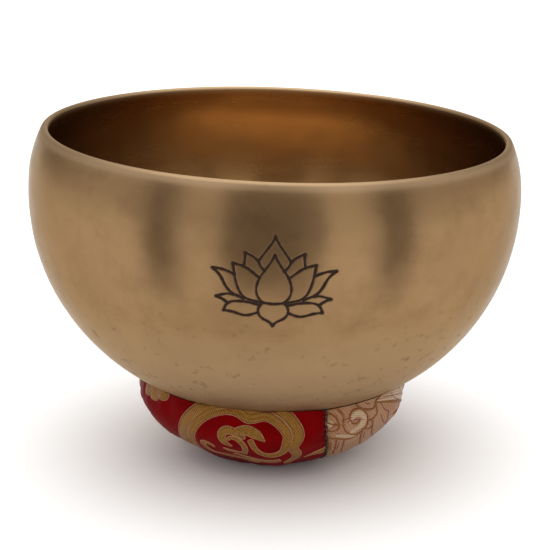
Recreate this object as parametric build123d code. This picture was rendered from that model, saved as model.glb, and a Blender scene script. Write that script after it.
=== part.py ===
from build123d import *
from math import acos, atan2, cos, pi, radians, sin, sqrt
import os

# Singing bowl resting on a stuffed ring cushion. Millimetres, +Z up, front towards -Y.
# The origin is on the table, under the middle of the bowl's belly.

# --- bowl: a turned and hammered bronze shell, given by the radii of its outer profile ---
corner_radius = 40.0        # from the small flat base up into the side
side_radius = 86.9          # the long curve of the side
side_centre = (13.0, 83.7)  # radius and height of that curve's centre
shoulder_radius = 50.0      # the wall turning in above the belly
shoulder_start = 94.5       # degrees from straight down, where the shoulder takes over
bowl_height = 108.8
wall = 2.6
inner_shoulder = 43.5       # smaller than the outer one, so the wall thickens towards the lip
lip_outer_fillet = 1.9
lip_inner_fillet = 1.2
lean = 1.9                  # degrees, towards +X, because the cushion is soft
bowl_lift = 27.6            # height of the bowl's base above the table

# --- engraved lotus on the bowl's front ---
line_width = 0.8
groove_depth = 0.30
fill_below_surface = 0.10
cut_margin = 0.5            # how far the cutting shape stands out of the wall
speck_volume = 1.0          # loose bits of filling smaller than this, at line ends, are left out

# --- ring cushion, sewn from four wedges of brocade ---
cushion_x = -0.9            # the cushion's centre, a little to the left of the bowl's
ring_outer = 56.4           # radius at the widest level
ring_widest_z = 28.9
ring_top_z = 47.0           # where the top would be without the bowl pressing it down
ring_top_r = 36.0
hole_radius = 9.5
hole_z = 24.0
foot_inner = 14.0           # the flat ring that rests on the table
foot_outer = 22.5
foot_pull = (34.0, 3.2)     # control points that give the section its fullness, going round it
low_side_pull_z = 16.0
high_side_pull_z = 40.0
outer_crown_pull_r = 48.0
inner_crown_pull_r = 20.0
high_hole_pull_z = 38.0
low_hole_pull_z = 12.0
hole_foot_pull_r = 10.5
cloth = 1.0
seat_gap = 0.3              # between the bowl and the cloth
seam_angles = {"front_right": -67.0, "back_right": 3.0, "back_left": 113.0, "front_left": 183.0}

# --- sewing thread ---
thread = 0.5
thread_sink = 0.15          # how far the thread is pulled into the cloth
seam_from = 0.10            # the seam starts this share of the way up the low side curve
seam_to = 0.16              # and ends this share of the way along the high side curve
stitch_length = 3.0
stitch_pitch = 3.0
stitch_slant = 25.0         # degrees, as overcast stitches lie
closing_count = 24
closing_length = 4.0
closing_z = 17.0


def bowl_outline(grow):
    """The outer profile, moved out by grow: centre and radius of each arc, and where the arcs meet."""
    side = side_radius + grow
    corner = corner_radius + grow
    shoulder = shoulder_radius + grow
    turn = radians(shoulder_start)
    reach = side_radius - shoulder_radius
    shoulder_centre = (side_centre[0] + reach * sin(turn), side_centre[1] - reach * cos(turn))
    # the corner arc touches the side arc from inside and is tangent to the flat
    across = sqrt((side_radius - corner_radius) ** 2 - (side_centre[1] - corner_radius) ** 2)
    corner_centre = (side_centre[0] + across, corner_radius)
    meet = atan2(across, side_centre[1] - corner_radius)
    return {
        "flat": (corner_centre[0], -grow),
        "corner": (corner_centre, corner),
        "side": (side_centre, side),
        "shoulder": (shoulder_centre, shoulder),
        "meet": meet,
        "turn": turn,
    }


def on_arc(arc, angle):
    """A point on an arc, at an angle measured from straight down."""
    (r, z), radius = arc
    return (r + radius * sin(angle), z - radius * cos(angle))


def profile_edges(shape, top):
    """Base centre, flat, corner, side and shoulder, up to height top."""
    end = pi - acos((top - shape["shoulder"][0][1]) / shape["shoulder"][1])
    meet, turn = shape["meet"], shape["turn"]
    edges = [Line((0, shape["flat"][1]), shape["flat"])]
    for arc, start, stop in (("corner", 0, meet), ("side", meet, turn), ("shoulder", turn, end)):
        points = [on_arc(shape[arc], start + (stop - start) * k / 2) for k in range(3)]
        edges.append(ThreePointArc(*points))
    return edges, on_arc(shape["shoulder"], end)


def turned(edges):
    """Spins a closed outline, drawn as (radius, height), about the vertical axis."""
    return revolve(Plane.XZ * make_face(edges), Axis.Z)


def solid_bowl(grow):
    """The bowl as a solid, grown by an amount; a negative amount shrinks it."""
    edges, rim = profile_edges(bowl_outline(grow), bowl_height)
    return turned(edges + [Line(rim, (0, bowl_height)), Line((0, bowl_height), (0, -grow))])


def bowl_inside():
    """The hollow: a wall's thickness in from the outer arcs, with a shoulder of its own."""
    shape = bowl_outline(-wall)
    turn = shape["turn"]
    reach = side_radius - wall - inner_shoulder
    centre = (side_centre[0] + reach * sin(turn), side_centre[1] - reach * cos(turn))
    shape["shoulder"] = (centre, inner_shoulder)
    edges, rim = profile_edges(shape, bowl_height)
    return turned(edges + [Line(rim, (0, bowl_height)), Line((0, bowl_height), (0, wall))])


def lip_circles(shell):
    """The lip's two sharp edges, inner one first."""
    circles = shell.edges().filter_by(GeomType.CIRCLE)
    near = 0.1
    at_top = circles.filter_by_position(Axis.Z, bowl_height - near, bowl_height + near)
    return at_top.sort_by(SortBy.RADIUS)


def rounded_lip(shell):
    """Rounds the lip, more on the outside than on the inside."""
    shell = fillet(lip_circles(shell)[-1], lip_outer_fillet)
    return fillet(lip_circles(shell)[0], lip_inner_fillet)


# Right half of the lotus, as (sideways, height above the base). Each line is a smooth curve.
lotus_half = {
    "top_petal": [(0, 90.6), (1.0, 88.5), (2.7, 86.0), (5.8, 81.5)],
    "top_petal_foot": [(5.8, 81.5), (5.0, 79.7), (3.5, 78.0)],
    "drop": [(0, 83.9), (2.0, 80.2), (4.9, 75.8), (6.3, 71.0), (5.5, 67.7), (3.9, 65.7)],
    "upper_petal": [(5.8, 81.5), (8.0, 83.3), (10.6, 84.4)],
    "upper_petal_side": [(10.6, 84.4), (10.6, 81.9), (11.0, 79.4)],
    "middle_petal": [(5.2, 75.2), (8.1, 77.6), (11.0, 79.4), (14.8, 80.3)],
    "middle_petal_side": [(14.8, 80.3), (14.2, 76.2), (13.0, 71.5), (10.7, 67.7), (7.4, 66.3), (3.9, 65.7)],
    "outer_petal": [(14.2, 76.2), (18.0, 77.6), (22.1, 78.0)],
    "outer_petal_side": [(22.1, 78.0), (19.2, 75.2), (17.1, 71.3), (14.5, 68.4)],
    "low_petal": [(20.6, 67.1), (17.5, 68.2), (14.5, 68.4), (10.7, 67.0)],
    "low_petal_side": [(20.6, 67.1), (18.3, 66.2), (16.3, 64.7)],
    "bottom_petal": [(17.7, 61.7), (16.3, 64.7), (10.9, 65.8), (4.8, 64.6)],
    "bottom_petal_side": [(17.7, 61.7), (14.0, 61.2), (9.9, 60.2), (5.4, 61.7)],
    "foot_petal": [(3.9, 65.7), (5.4, 62.8), (4.3, 59.7), (1.6, 58.0), (0, 56.3)],
}
lotus_base = [(-3.9, 65.7), (0, 65.3), (3.9, 65.7)]


def lotus_lines():
    """All the lines of the lotus as one flat face network, on the XZ plane."""
    strokes = [trace(Spline(*lotus_base), line_width)]
    for points in lotus_half.values():
        right = trace(Spline(*points), line_width)
        strokes += [right, mirror(right, about=Plane.YZ)]
    ends = {point for points in lotus_half.values() for point in (points[0], points[-1])}
    for x, z in sorted(ends):
        strokes += [Pos(x, z) * Circle(line_width / 2), Pos(-x, z) * Circle(line_width / 2)]
    return strokes[0].fuse(*strokes[1:])


def placed_bowl(shape):
    """Leans a bowl shape and sets it at its height, with the belly's middle over the origin."""
    belly = side_centre[1]
    return Pos(0, 0, bowl_lift + belly) * Rot(0, lean, 0) * Pos(0, 0, -belly) * shape


def ring_section(inset):
    """The cushion's cross-section before the bowl presses on it, moved in by inset."""
    outer, hole = ring_outer - inset, hole_radius + inset
    top, floor = ring_top_z - inset, inset
    widest, crown, narrowest = (outer, ring_widest_z), (ring_top_r, top), (hole, hole_z)
    return [
        Line((foot_inner, floor), (foot_outer, floor)),
        Bezier((foot_outer, floor), (foot_pull[0], foot_pull[1] + inset), (outer, low_side_pull_z), widest),
        Bezier(widest, (outer, high_side_pull_z - inset), (outer_crown_pull_r, top), crown),
        Bezier(crown, (inner_crown_pull_r, top), (hole, high_hole_pull_z - inset), narrowest),
        Bezier(narrowest, (hole, low_hole_pull_z), (hole_foot_pull_r + inset, floor), (foot_inner, floor)),
    ]


def pressed_ring(inset):
    """The ring with the bowl's seat pressed into it."""
    ring = Pos(cushion_x, 0, 0) * turned(ring_section(inset))
    return ring - placed_bowl(solid_bowl(seat_gap + inset))


def wedge(start, stop):
    """A tall wedge of space between two seam planes, about the cushion's axis."""
    far = 2 * ring_outer
    steps = 4
    margin = 1
    corners = [(0, 0)]
    for k in range(steps + 1):
        angle = radians(start + (stop - start) * k / steps)
        corners.append((far * cos(angle), far * sin(angle)))
    outline = make_face(Polyline(*corners, close=True))
    return Pos(cushion_x, 0, -margin) * extrude(outline, ring_top_z + 2 * margin)


def thread_bar(at, normal, along, length):
    """One straight length of thread, lying on the cloth and sinking into it a little."""
    lift = thread / 2 - thread_sink
    centre = Vector(*at) + Vector(*normal) * lift
    return Plane(origin=centre, x_dir=normal, z_dir=along) * Cylinder(thread / 2, length)


def overcast(angle):
    """Slanted stitches over one seam, up the cushion's outer side from the foot to the bowl."""
    low_side, high_side = ring_section(0)[1:3]
    spin = radians(angle)
    out, round_ring = (cos(spin), sin(spin)), (-sin(spin), cos(spin))
    bars = []
    for edge, first, last in ((low_side, seam_from, 1.0), (high_side, 0.0, seam_to)):
        count = max(1, int(edge.length * (last - first) / stitch_pitch))
        for k in range(count):
            place = first + (last - first) * (k + 0.5) / count
            spot, way = edge @ place, edge % place
            r, z = spot.X, spot.Y
            normal = (way.Y * out[0], way.Y * out[1], -way.X)
            up = (way.X * out[0], way.X * out[1], way.Y)
            lean_in = radians(stitch_slant)
            across = (round_ring[0], round_ring[1], 0)
            along = tuple(cos(lean_in) * a + sin(lean_in) * u for a, u in zip(across, up))
            at = (cushion_x + r * out[0], r * out[1], z)
            bars.append(thread_bar(at, normal, along, stitch_length))
    return Compound(children=bars)


def closing_stitches():
    """Upright stitches round the hole, where the cover is closed after stuffing."""
    bars = []
    for k in range(closing_count):
        spin = 2 * pi * (k + 0.5) / closing_count
        normal = (-cos(spin), -sin(spin), 0)
        at = (cushion_x + hole_radius * cos(spin), hole_radius * sin(spin), closing_z)
        bars.append(thread_bar(at, normal, (0, 0, 1), closing_length))
    return Compound(children=bars)


def engraving():
    """The groove that the lotus lines cut, and the dark filling that lies in it."""
    reach = side_centre[0] + side_radius + cut_margin
    prism = extrude(Plane.XZ * lotus_lines(), reach, dir=(0, -1, 0))
    floor = solid_bowl(-groove_depth)
    groove = prism & (solid_bowl(cut_margin) - floor)
    filling = prism & (solid_bowl(-fill_below_surface) - floor)
    return groove, Compound(children=[bit for bit in filling.solids() if bit.volume > speck_volume])


def save(name, shape):
    export_step(shape, f"parts/{name}.step")


os.makedirs("parts", exist_ok=True)

groove, filling = engraving()
shell = rounded_lip(solid_bowl(0) - bowl_inside())
save("bowl_shell", placed_bowl(shell - groove))
save("lotus_engraving", placed_bowl(filling))

stuffing = pressed_ring(cloth)
cover = pressed_ring(0) - stuffing
save("cushion_stuffing", stuffing)

seams = seam_angles
panels = {
    "cream_panel_right": (seams["front_right"], seams["back_right"]),
    "red_panel_back": (seams["back_right"], seams["back_left"]),
    "cream_panel_left": (seams["back_left"], seams["front_left"]),
    "red_panel_front": (seams["front_left"], seams["front_right"] + 360),
}
for name, (start, stop) in panels.items():
    save(name, cover & wedge(start, stop))
for place, angle in seam_angles.items():
    save("stitches_" + place, overcast(angle))
save("closing_stitches", closing_stitches())
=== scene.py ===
"""A singing bowl of satin bronze on a stuffed ring cushion of red and cream silk brocade."""
import math
import random

import bmesh
import bpy
import numpy as np
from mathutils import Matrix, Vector


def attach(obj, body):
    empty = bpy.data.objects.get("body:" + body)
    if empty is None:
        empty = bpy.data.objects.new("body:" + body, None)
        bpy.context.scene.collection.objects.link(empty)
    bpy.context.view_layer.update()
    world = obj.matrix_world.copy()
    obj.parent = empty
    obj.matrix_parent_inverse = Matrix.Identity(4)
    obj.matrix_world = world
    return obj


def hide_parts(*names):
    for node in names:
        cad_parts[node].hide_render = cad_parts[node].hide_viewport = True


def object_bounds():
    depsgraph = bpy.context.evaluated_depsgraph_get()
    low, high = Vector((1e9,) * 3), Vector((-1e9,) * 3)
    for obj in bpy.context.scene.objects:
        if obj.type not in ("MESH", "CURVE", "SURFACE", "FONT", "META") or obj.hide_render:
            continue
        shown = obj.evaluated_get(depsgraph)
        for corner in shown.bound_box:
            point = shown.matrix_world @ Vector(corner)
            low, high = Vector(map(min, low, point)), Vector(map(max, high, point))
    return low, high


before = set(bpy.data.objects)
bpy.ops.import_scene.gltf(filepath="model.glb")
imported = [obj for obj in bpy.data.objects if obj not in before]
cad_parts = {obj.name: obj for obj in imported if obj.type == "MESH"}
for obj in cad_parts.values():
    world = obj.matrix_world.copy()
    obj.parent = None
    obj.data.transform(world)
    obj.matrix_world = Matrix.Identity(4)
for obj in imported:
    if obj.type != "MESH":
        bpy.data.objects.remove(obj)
CAD_BOX = [list(corner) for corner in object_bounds()]
MM = 0.001

# --- the bowl's profile, as the CAD has it, in millimetres ---
SIDE_RADIUS, SIDE_CENTRE = 86.9, (13.0, 83.7)
CORNER_RADIUS, SHOULDER_RADIUS, SHOULDER_START = 40.0, 50.0, math.radians(94.5)
BOWL_HEIGHT, WALL, INNER_SHOULDER = 108.8, 2.6, 43.5
LIP_OUTER, LIP_INNER = 1.9, 1.2
LEAN, BOWL_LIFT = math.radians(1.9), 27.6
GROOVE_DEPTH, FILL_DEPTH, LINE_WIDTH = 0.30, 0.12, 0.8
LOTUS_FOOT, LOTUS_TIP = 56.3, 90.6
BOWL_COLUMNS, BOWL_SPACING, CUTS_AT_LOTUS = 300, 2.0, 8
FIRST_RADIUS, LEAST_STEP = 1.5, 0.3
WINDOW_FRONT, WINDOW_WIDE, WINDOW_TALL, WINDOW_EDGE = -60, 24.5, 19.5, 3
# The groove's side starts inside the line's edge; the filling and the dark tint reach beyond that edge.
GROOVE_INSET, GROOVE_SIDE, FILL_REACH, TINT_REACH = 0.14, 0.24, 0.42, 0.4
LIP_FROM, LIP_CHANGE = 4.0, 2.2

# --- the cushion's section, as the CAD has it, in millimetres ---
CUSHION_X = -0.9
RING_OUTER, RING_WIDEST_Z, RING_TOP_Z, RING_TOP_R = 56.4, 28.9, 47.0, 36.0
HOLE_RADIUS, HOLE_Z, FOOT_INNER, FOOT_OUTER = 9.5, 24.0, 14.0, 22.5
CLOTH, STITCH_PITCH = 0.8, 3.0
SEAM_DRIFT, DRIFT_FROM, DRIFT_TO = math.radians(14), 46.0, 12.0
SEAMS = {"front_right": -67.0, "back_right": 3.0, "back_left": 113.0, "front_left": 183.0}
PANELS = {
    "cream_panel_right": ("front_right", "back_right"),
    "red_panel_back": ("back_right", "back_left"),
    "cream_panel_left": ("back_left", "front_left"),
    "red_panel_front": ("front_left", "front_right"),
}


# --- small tools ---

def new_object(name, data, smooth=True):
    piece = bpy.data.objects.new(name, data)
    bpy.context.scene.collection.objects.link(piece)
    if smooth:
        data.shade_smooth()
    return piece


def mesh_from(name, points, faces):
    """A mesh from points in millimetres."""
    mesh = bpy.data.meshes.new(name)
    mesh.from_pydata((np.asarray(points, float) * MM).tolist(), [], faces)
    mesh.update()
    return mesh


def grid_faces(rows, columns, close_rows=False, close_columns=False):
    """Quads of a grid of points stored row by row."""
    faces = []
    for i in range(rows if close_rows else rows - 1):
        for j in range(columns if close_columns else columns - 1):
            i2, j2 = (i + 1) % rows, (j + 1) % columns
            faces.append((i * columns + j, i * columns + j2, i2 * columns + j2, i2 * columns + j))
    return faces


def tube_faces(rows, ring):
    """Faces of a tube stored ring by ring, with its two ends."""
    last = (rows - 1) * ring
    ends = [tuple(reversed(range(ring))), tuple(range(last, last + ring))]
    return grid_faces(rows, ring, close_columns=True) + ends


def joined(parts):
    """The points and faces of several parts as one."""
    faces, first = [], 0
    for points, part_faces, *_ in parts:
        faces += [tuple(i + first for i in face) for face in part_faces]
        first += len(points)
    return np.concatenate([part[0] for part in parts]), faces


def unit(ways):
    return ways / np.linalg.norm(ways, axis=1)[:, None]


def travelled(path):
    """How far along the path each of its points is."""
    return np.concatenate([[0], np.cumsum(np.linalg.norm(np.diff(path, axis=0), axis=1))])


def plane_waves(points, seed, count, shortest, longest):
    """A smooth bumpy field of about unit height, as a sum of plane waves of the given lengths in mm."""
    rng = np.random.default_rng(seed)
    total = np.zeros(len(points))
    for _ in range(count):
        direction = rng.normal(size=3)
        direction /= np.linalg.norm(direction)
        length = math.exp(rng.uniform(math.log(shortest), math.log(longest)))
        total += np.sin(points @ direction * (2 * math.pi / length) + rng.uniform(0, 2 * math.pi))
    return total / math.sqrt(count / 2)


def smooth_step(x):
    x = np.clip(x, 0, 1)
    return x * x * (3 - 2 * x)


def attribute(mesh, name, kind, values):
    mesh.attributes.new(name, kind, "POINT")
    key = "vector" if kind == "FLOAT_VECTOR" else "value"
    mesh.attributes[name].data.foreach_set(key, np.asarray(values, np.float32).ravel())


# --- materials ---

class Nodes:
    """Short calls for building the node tree of a new material, or of the world."""

    def __init__(self, name, world=None):
        self.material = world or bpy.data.materials.new(name)
        self.material.use_nodes = True
        self.tree = self.material.node_tree
        self.shader = self.tree.nodes["Background" if world else "Principled BSDF"]

    def add(self, kind, **inputs):
        node = self.tree.nodes.new("ShaderNode" + kind)
        for key, value in inputs.items():
            self.set(node, key.replace("_", " "), value)
        return node

    def set(self, node, key, value):
        """Link an input, by name or number, or set its value."""
        if isinstance(value, bpy.types.NodeSocket):
            self.tree.links.new(value, node.inputs[key])
        else:
            node.inputs[key].default_value = value

    def coordinates(self, kind="Object"):
        return self.add("TexCoord").outputs[kind]

    def marked(self, name, output="Fac"):
        """Values kept in the mesh: a number at each point, or the place on the cloth."""
        node = self.add("Attribute")
        node.attribute_name = name
        return node.outputs[output]

    def height(self, place):
        """Height above the table, from 0 to 1 over the whole object."""
        separate = self.add("SeparateXYZ", Vector=place)
        return self.math("DIVIDE", separate.outputs["Z"], CAD_BOX[1][2])

    def scaled(self, vector, scale):
        return self.add("Mapping", Vector=vector, Scale=scale).outputs["Vector"]

    def noise(self, vector, scale, detail, roughness):
        node = self.add("TexNoise", Vector=vector, Scale=scale, Detail=detail, Roughness=roughness)
        return node.outputs["Fac"]

    def ramp(self, fac, stops):
        node = self.add("ValToRGB", Fac=fac)
        ramp = node.color_ramp
        for k, (place, value) in enumerate(stops):
            stop = ramp.elements[k] if k < 2 else ramp.elements.new(place)
            stop.position = place
            stop.color = (value, value, value, 1) if isinstance(value, (int, float)) else (*value, 1)
        return node.outputs["Color"]

    def mix(self, fac, a, b):
        node = self.add("Mix")
        node.data_type = "RGBA"
        for index, value in ((0, fac), (6, a), (7, b)):
            self.set(node, index, (*value, 1) if isinstance(value, tuple) else value)
        return node.outputs[2]

    def math(self, operation, a, b=0.0, c=0.0):
        node = self.add("Math")
        node.operation = operation
        for index, value in enumerate((a, b, c)):
            self.set(node, index, value)
        return node.outputs[0]

    def bump(self, height, strength, distance, normal=None):
        node = self.add("Bump", Height=height, Strength=strength, Distance=distance)
        if normal is not None:
            self.set(node, "Normal", normal)
        return node.outputs["Normal"]

    def finish(self, **inputs):
        for key, value in inputs.items():
            self.set(self.shader, key.replace("_", " "), value)
        return self.material


# --- the bowl ---

def placed(points):
    """From the upright bowl, base at the origin, to its leaning place on the cushion."""
    belly = SIDE_CENTRE[1]
    x, y, z = points[:, 0], points[:, 1], points[:, 2] - belly
    c, s = math.cos(LEAN), math.sin(LEAN)
    return np.stack([x * c + z * s, y, z * c - x * s + BOWL_LIFT + belly], 1)


def bowl_arcs(inset, shoulder_radius):
    """Centre and radius of the corner, side and shoulder arcs, and the angles where they meet."""
    turn = SHOULDER_START
    across = math.sqrt((SIDE_RADIUS - CORNER_RADIUS) ** 2 - (SIDE_CENTRE[1] - CORNER_RADIUS) ** 2)
    meet = math.atan2(across, SIDE_CENTRE[1] - CORNER_RADIUS)
    side = SIDE_RADIUS - inset
    reach = side - shoulder_radius
    shoulder = (SIDE_CENTRE[0] + reach * math.sin(turn), SIDE_CENTRE[1] - reach * math.cos(turn))
    end = math.pi - math.acos((BOWL_HEIGHT - shoulder[1]) / shoulder_radius)
    return [
        ((SIDE_CENTRE[0] + across, CORNER_RADIUS), CORNER_RADIUS - inset, 0.0, meet),
        (SIDE_CENTRE, side, meet, turn),
        (shoulder, shoulder_radius, turn, end),
    ]


def arc_points(arc, spacing):
    (r, z), radius, start, stop = arc
    count = max(2, int(round(radius * abs(stop - start) / spacing)))
    angles = np.linspace(start, stop, count + 1)
    return np.stack([r + radius * np.sin(angles), z - radius * np.cos(angles)], 1)


def wall_points(inset, shoulder_radius, spacing):
    """Points up one side of the wall, from near the axis to the lip."""
    flat_end = bowl_arcs(inset, shoulder_radius)[0][0][0]
    count = int(flat_end / spacing)
    flat = np.stack([np.linspace(FIRST_RADIUS, flat_end, count), np.full(count, inset)], 1)
    parts = [flat] + [arc_points(arc, spacing)[1:] for arc in bowl_arcs(inset, shoulder_radius)]
    return np.concatenate(parts)


def rounded_corner(corner, way_in, way_out, radius, count):
    """Points of a fillet at a corner between two straight ways."""
    way_in, way_out = (np.array(w) / np.linalg.norm(w) for w in (way_in, way_out))
    turn = math.acos(np.clip(way_in @ way_out, -1, 1))
    back = radius * math.tan(turn / 2)
    start = np.array(corner) - way_in * back
    side = way_out - way_in * (way_in @ way_out)
    side /= np.linalg.norm(side)
    angles = np.linspace(0, turn, count)[:, None]
    return start + radius * (np.sin(angles) * way_in + (1 - np.cos(angles)) * side), back


def bowl_profile(spacing):
    """The closed outline (radius, height): up the outside, over the lip and down the inside."""
    outer = wall_points(0.0, SHOULDER_RADIUS, spacing)
    inner = wall_points(WALL, INNER_SHOULDER, spacing)
    up, down = outer[-1] - outer[-2], inner[-2] - inner[-1]
    lip_out, back_out = rounded_corner(outer[-1], up, (-1, 0), LIP_OUTER, 9)
    lip_in, back_in = rounded_corner(inner[-1], (-1, 0), down, LIP_INNER, 7)
    keep_out = outer[np.linalg.norm(outer - outer[-1], axis=1) > back_out + LEAST_STEP]
    keep_in = inner[np.linalg.norm(inner - inner[-1], axis=1) > back_in + LEAST_STEP]
    profile = np.concatenate([keep_out, lip_out, lip_in, keep_in[::-1]])
    return profile, len(keep_out) + len(lip_out)


def uneven(points, inside):
    """How far the hammered wall stands out sideways from the true shape, in mm."""
    height = np.clip(points[:, 2] / BOWL_HEIGHT, 0, 1)
    radius = np.hypot(points[:, 0], points[:, 1])
    around = np.arctan2(points[:, 1], points[:, 0])
    slow = plane_waves(points, 11, 10, 60, 120) * 0.16
    dents = 0.028 * np.where(inside, plane_waves(points, 22, 36, 11, 24), plane_waves(points, 21, 36, 11, 24))
    below_lip = smooth_step((BOWL_HEIGHT - points[:, 2]) / 8)
    oval = 0.45 * np.cos(2 * (around + math.radians(50))) * height ** 3
    return (slow * (0.3 + 0.7 * height) + dents * below_lip + oval) * np.clip(radius / 45, 0, 1)


# Right half of the lotus: sideways from the middle, and height above the bowl's base, in mm.
LOTUS_HALF = [
    [(0, 90.6), (1.0, 88.5), (2.7, 86.0), (5.8, 81.5)],
    [(5.8, 81.5), (5, 79.7), (3.5, 78.0)],
    [(0, 83.9), (2.0, 80.2), (4.9, 75.8), (6.3, 71.0), (5.5, 67.7), (3.9, 65.7)],
    [(5.8, 81.5), (8, 83.3), (10.6, 84.4)],
    [(10.6, 84.4), (10.6, 81.9), (11, 79.4)],
    [(5.2, 75.2), (8.1, 77.6), (11, 79.4), (14.8, 80.3)],
    [(14.8, 80.3), (14.2, 76.2), (13, 71.5), (10.7, 67.7), (7.4, 66.3), (3.9, 65.7)],
    [(14.2, 76.2), (18, 77.6), (22.1, 78.0)],
    [(22.1, 78.0), (19.2, 75.2), (17.1, 71.3), (14.5, 68.4)],
    [(20.6, 67.1), (17.5, 68.2), (14.5, 68.4), (10.7, 67.0)],
    [(20.6, 67.1), (18.3, 66.2), (16.3, 64.7)],
    [(17.7, 61.7), (16.3, 64.7), (10.9, 65.8), (4.8, 64.6)],
    [(17.7, 61.7), (14, 61.2), (9.9, 60.2), (5.4, 61.7)],
    [(3.9, 65.7), (5.4, 62.8), (4.3, 59.7), (1.6, 58.0), (0, 56.3)],
]
LOTUS_BASE = [(-3.9, 65.7), (0, 65.3), (3.9, 65.7)]


def smooth_curve(points, step):
    """A cubic curve through the points, sampled about every step."""
    points = np.asarray(points, float)
    n = len(points)
    if n == 2:
        count = max(2, int(np.linalg.norm(points[1] - points[0]) / step) + 1)
        return np.linspace(points[0], points[1], count)
    gaps = np.linalg.norm(np.diff(points, axis=0), axis=1) ** 0.5 + 1e-9
    system, right = np.zeros((n, n)), np.zeros_like(points)
    system[0, 0] = system[-1, -1] = 1
    for k in range(1, n - 1):
        system[k, k - 1:k + 2] = gaps[k - 1], 2 * (gaps[k - 1] + gaps[k]), gaps[k]
        right[k] = 6 * ((points[k + 1] - points[k]) / gaps[k] - (points[k] - points[k - 1]) / gaps[k - 1])
    bend = np.linalg.solve(system, right)
    out = []
    for k, gap in enumerate(gaps):
        count = max(2, int(math.ceil(np.linalg.norm(points[k + 1] - points[k]) * 1.1 / step)))
        t = (np.arange(count) * gap / count)[:, None]
        a, b = gap - t, t
        out.append(
            (bend[k] * a ** 3 + bend[k + 1] * b ** 3) / (6 * gap)
            + (points[k] / gap - bend[k] * gap / 6) * a
            + (points[k + 1] / gap - bend[k + 1] * gap / 6) * b
        )
    return np.concatenate(out + [points[-1:]])


def lotus_curves(step=0.1):
    """Points along all the lines, and how much heavier than its usual half width the line is at each."""
    curves = [smooth_curve(LOTUS_BASE, step)]
    for half in LOTUS_HALF:
        curve = smooth_curve(half, step)
        curves += [curve, curve * (-1, 1)]
    heavier = []
    for curve in curves:
        to_end = np.minimum(np.arange(len(curve)), np.arange(len(curve))[::-1]) * step
        hand = 0.05 * np.sin(curve @ (1.1, 0.7)) + 0.04 * np.sin(curve @ (-2.3, 1.9))
        heavier.append(0.17 * np.exp(-(to_end / 0.8) ** 2) + hand)
    return np.concatenate(curves), np.concatenate(heavier)


def line_distance(points, lines, heavier, chunk=2000):
    """Distance of each flat point to the nearest line, less where that line is heavier."""
    best = np.empty(len(points))
    for k in range(0, len(points), chunk):
        apart = points[k:k + chunk, None, :] - lines[None]
        best[k:k + chunk] = (np.sqrt((apart ** 2).sum(2)) - heavier).min(1)
    return best


def outer_radius(z):
    """The outer profile's radius at a height on the side or shoulder."""
    side, shoulder = bowl_arcs(0.0, SHOULDER_RADIUS)[1:]
    low = side[0][0] + np.sqrt(np.maximum(side[1] ** 2 - (z - side[0][1]) ** 2, 0))
    high = shoulder[0][0] + np.sqrt(np.maximum(shoulder[1] ** 2 - (z - shoulder[0][1]) ** 2, 0))
    change = side[0][1] - side[1] * math.cos(SHOULDER_START)
    return np.where(z < change, low, high)


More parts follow.
